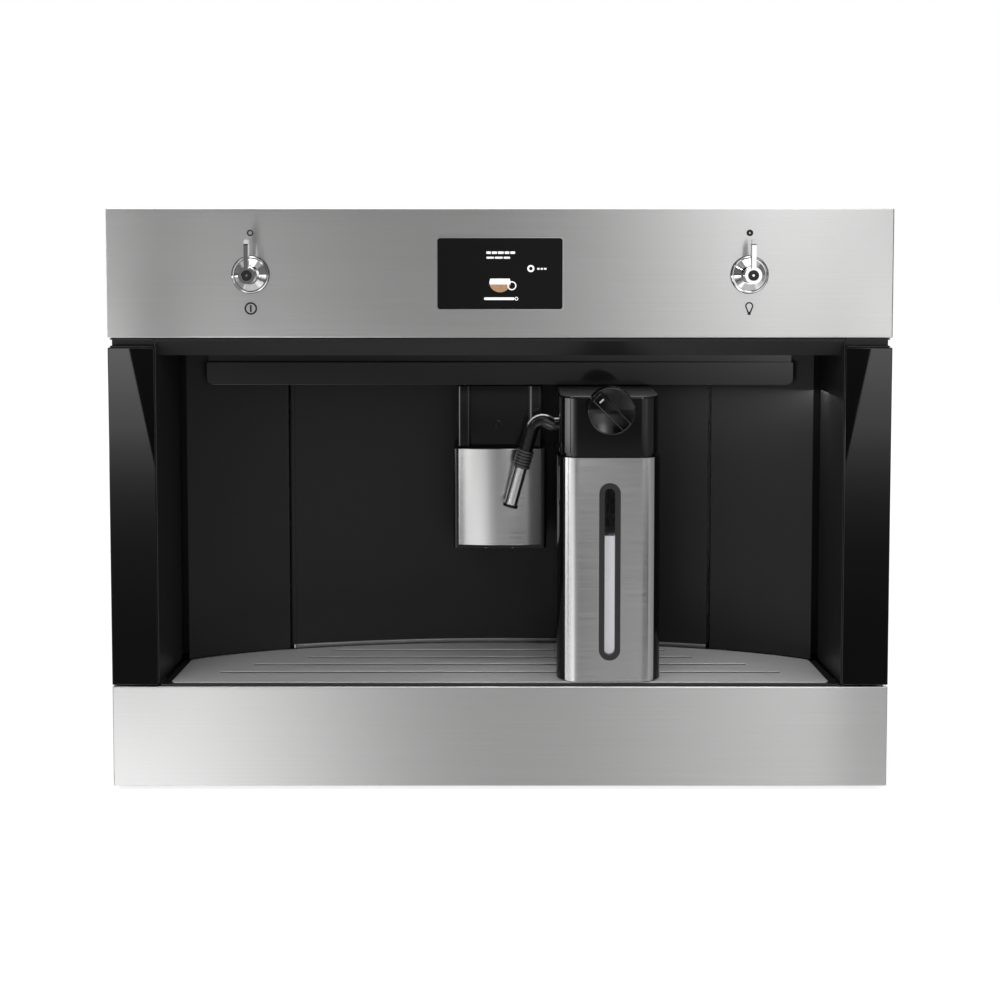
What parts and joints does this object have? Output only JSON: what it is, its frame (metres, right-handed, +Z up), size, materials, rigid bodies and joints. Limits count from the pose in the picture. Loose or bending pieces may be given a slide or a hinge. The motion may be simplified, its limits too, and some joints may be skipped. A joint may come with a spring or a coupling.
{
  "type": "built-in coffee machine",
  "caption": "Built-in bean-to-cup coffee machine with a cup niche, height-adjustable spout, docked milk carafe and tray drawer.",
  "frame": {"origin": "middle of the bounding box on the niche floor, under the rail base", "axes": "+X to the right seen from the front, +Y into the cabinet, +Z up"},
  "size_m": [0.595, 0.394, 0.447],
  "materials": {
    "brushed_face_steel": "horizontal brushed stainless steel",
    "tray_steel": "finely brushed stainless plate",
    "chassis_steel": "galvanised sheet steel",
    "rail_steel": "zinc-plated steel",
    "chrome_trim": "polished chrome",
    "black_glass": "black glossy pane",
    "display_dark": "dark display pane",
    "black_gloss": "glossy black moulding",
    "black_satin": "satin black moulding",
    "dark_grey": "dark grey moulding",
    "window_clear": "clear milk window",
    "rubber_black": "black ribbed rubber",
    "tank_clear": "smoky clear tank",
    "hopper_smoke": "smoked clear plastic",
    "hose_silicone": "milky silicone hose",
    "board_green": "circuit board",
    "cast_aluminium": "cast aluminium",
    "burr_steel": "hardened steel",
    "motor_steel": "painted motor can",
    "white_moulding": "natural moulding"
  },
  "bodies": {
    "mount_frame": {"rail_base": "rail_steel", "outer_rails": "rail_steel"},
    "rail_mid": {"middle_rails": "rail_steel"},
    "machine": {"inner_rails": "rail_steel", "chassis_base": "chassis_steel", "chassis_back": "chassis_steel", "chassis_sides": "chassis_steel", "chassis_screws": "chrome_trim", "top_cover": "chassis_steel", "front_frame": "chassis_steel", "bulkhead": "chassis_steel", "inner_shelf": "chassis_steel", "control_panel": "brushed_face_steel", "side_glasses": "black_glass", "side_carriers": "black_satin", "display_glass": "display_dark", "display_module": "black_satin", "knob_bases": "chrome_trim", "rotary_switches": "black_satin", "niche_bezel": "black_gloss", "niche_side_panels": "black_gloss", "upper_bridge": "black_gloss", "hinge_pins": "chrome_trim", "grinder_motor": "motor_steel", "grinder_housing": "black_satin", "bean_hopper": "hopper_smoke", "brew_frame": "white_moulding", "thermoblock": "cast_aluminium", "pump": "motor_steel", "water_hoses": "hose_silicone", "control_board": "board_green", "power_inlet": "black_satin"},
    "power_knob": {"power_lever": "chrome_trim"},
    "light_knob": {"light_lever": "chrome_trim"},
    "service_door": {"door_panel": "black_gloss", "door_carrier": "black_satin", "spout_guide": "black_gloss", "carafe_dock": "black_satin"},
    "spout": {"spout_body": "black_gloss", "coffee_nozzles": "chrome_trim", "spout_front_plate": "brushed_face_steel"},
    "carafe": {"carafe_body": "black_gloss", "carafe_front_plate": "brushed_face_steel", "window_frame": "dark_grey", "window_lens": "window_clear", "carafe_lid": "black_gloss", "intake_tube": "hose_silicone"},
    "dial": {"froth_dial": "black_gloss"},
    "milk_spout": {"milk_tube": "black_gloss", "milk_sleeve": "rubber_black", "milk_tip": "chrome_trim"},
    "tray_drawer": {"lower_fascia": "brushed_face_steel", "drawer_frame": "black_satin", "drip_tray": "black_satin", "cup_grid": "tray_steel", "grounds_container": "dark_grey"},
    "tank": {"water_tank": "tank_clear"},
    "bean_lid": {"hopper_lid": "hopper_smoke"},
    "burr": {"grinder_burr": "burr_steel"},
    "piston": {"brew_piston": "white_moulding"}
  },
  "joints": [
    {"name": "machine_slide", "type": "slide", "parent": "mount_frame", "child": "machine", "axis": [0, -1, 0], "range_m": [0, 0.3]},
    {"name": "middle_rail_slide", "type": "slide", "parent": "mount_frame", "child": "rail_mid", "axis": [0, -1, 0], "range_m": [0, 0.15]},
    {"name": "power_knob_turn", "type": "hinge", "parent": "machine", "child": "power_knob", "pos_m": [-0.1885, -0.177, 0.397], "axis": [0, 1, 0], "range_deg": [0, 90]},
    {"name": "light_knob_turn", "type": "hinge", "parent": "machine", "child": "light_knob", "pos_m": [0.1885, -0.177, 0.397], "axis": [0, 1, 0], "range_deg": [0, 90]},
    {"name": "service_door_hinge", "type": "hinge", "parent": "machine", "child": "service_door", "pos_m": [-0.1702, -0.08401, 0.193], "axis": [0, 0, 1], "range_deg": [-100, 0]},
    {"name": "spout_height", "type": "slide", "parent": "service_door", "child": "spout", "axis": [0, 0, 1], "range_m": [0, 0.05]},
    {"name": "carafe_slide", "type": "slide", "parent": "service_door", "child": "carafe", "axis": [0, -1, 0], "range_m": [0, 0.12]},
    {"name": "froth_dial_turn", "type": "hinge", "parent": "carafe", "child": "dial", "pos_m": [0.084, -0.177, 0.2945], "axis": [0, 1, 0], "range_deg": [-45, 135]},
    {"name": "milk_spout_swing", "type": "hinge", "parent": "carafe", "child": "milk_spout", "pos_m": [0.0456, -0.139, 0.278], "axis": [-1, 0, 0], "range_deg": [0, 60]},
    {"name": "tray_drawer_slide", "type": "slide", "parent": "machine", "child": "tray_drawer", "axis": [0, -1, 0], "range_m": [0, 0.2]},
    {"name": "water_tank_lift", "type": "slide", "parent": "machine", "child": "tank", "axis": [0, 0, 1], "range_m": [0, 0.28]},
    {"name": "bean_lid_hinge", "type": "hinge", "parent": "machine", "child": "bean_lid", "pos_m": [0.06, 0.136, 0.3646], "axis": [-1, 0, 0], "range_deg": [0, 100]},
    {"name": "burr_spin", "type": "hinge", "parent": "machine", "child": "burr", "pos_m": [0.06, 0.073, 0.233], "axis": [0, 0, 1], "continuous": true},
    {"name": "piston_press", "type": "slide", "parent": "machine", "child": "piston", "axis": [0, 0, -1], "range_m": [0, 0.045]}
  ],
  "couplings": [
    {"joint": "middle_rail_slide", "follows": "machine_slide", "ratio": 0.5}
  ]
}
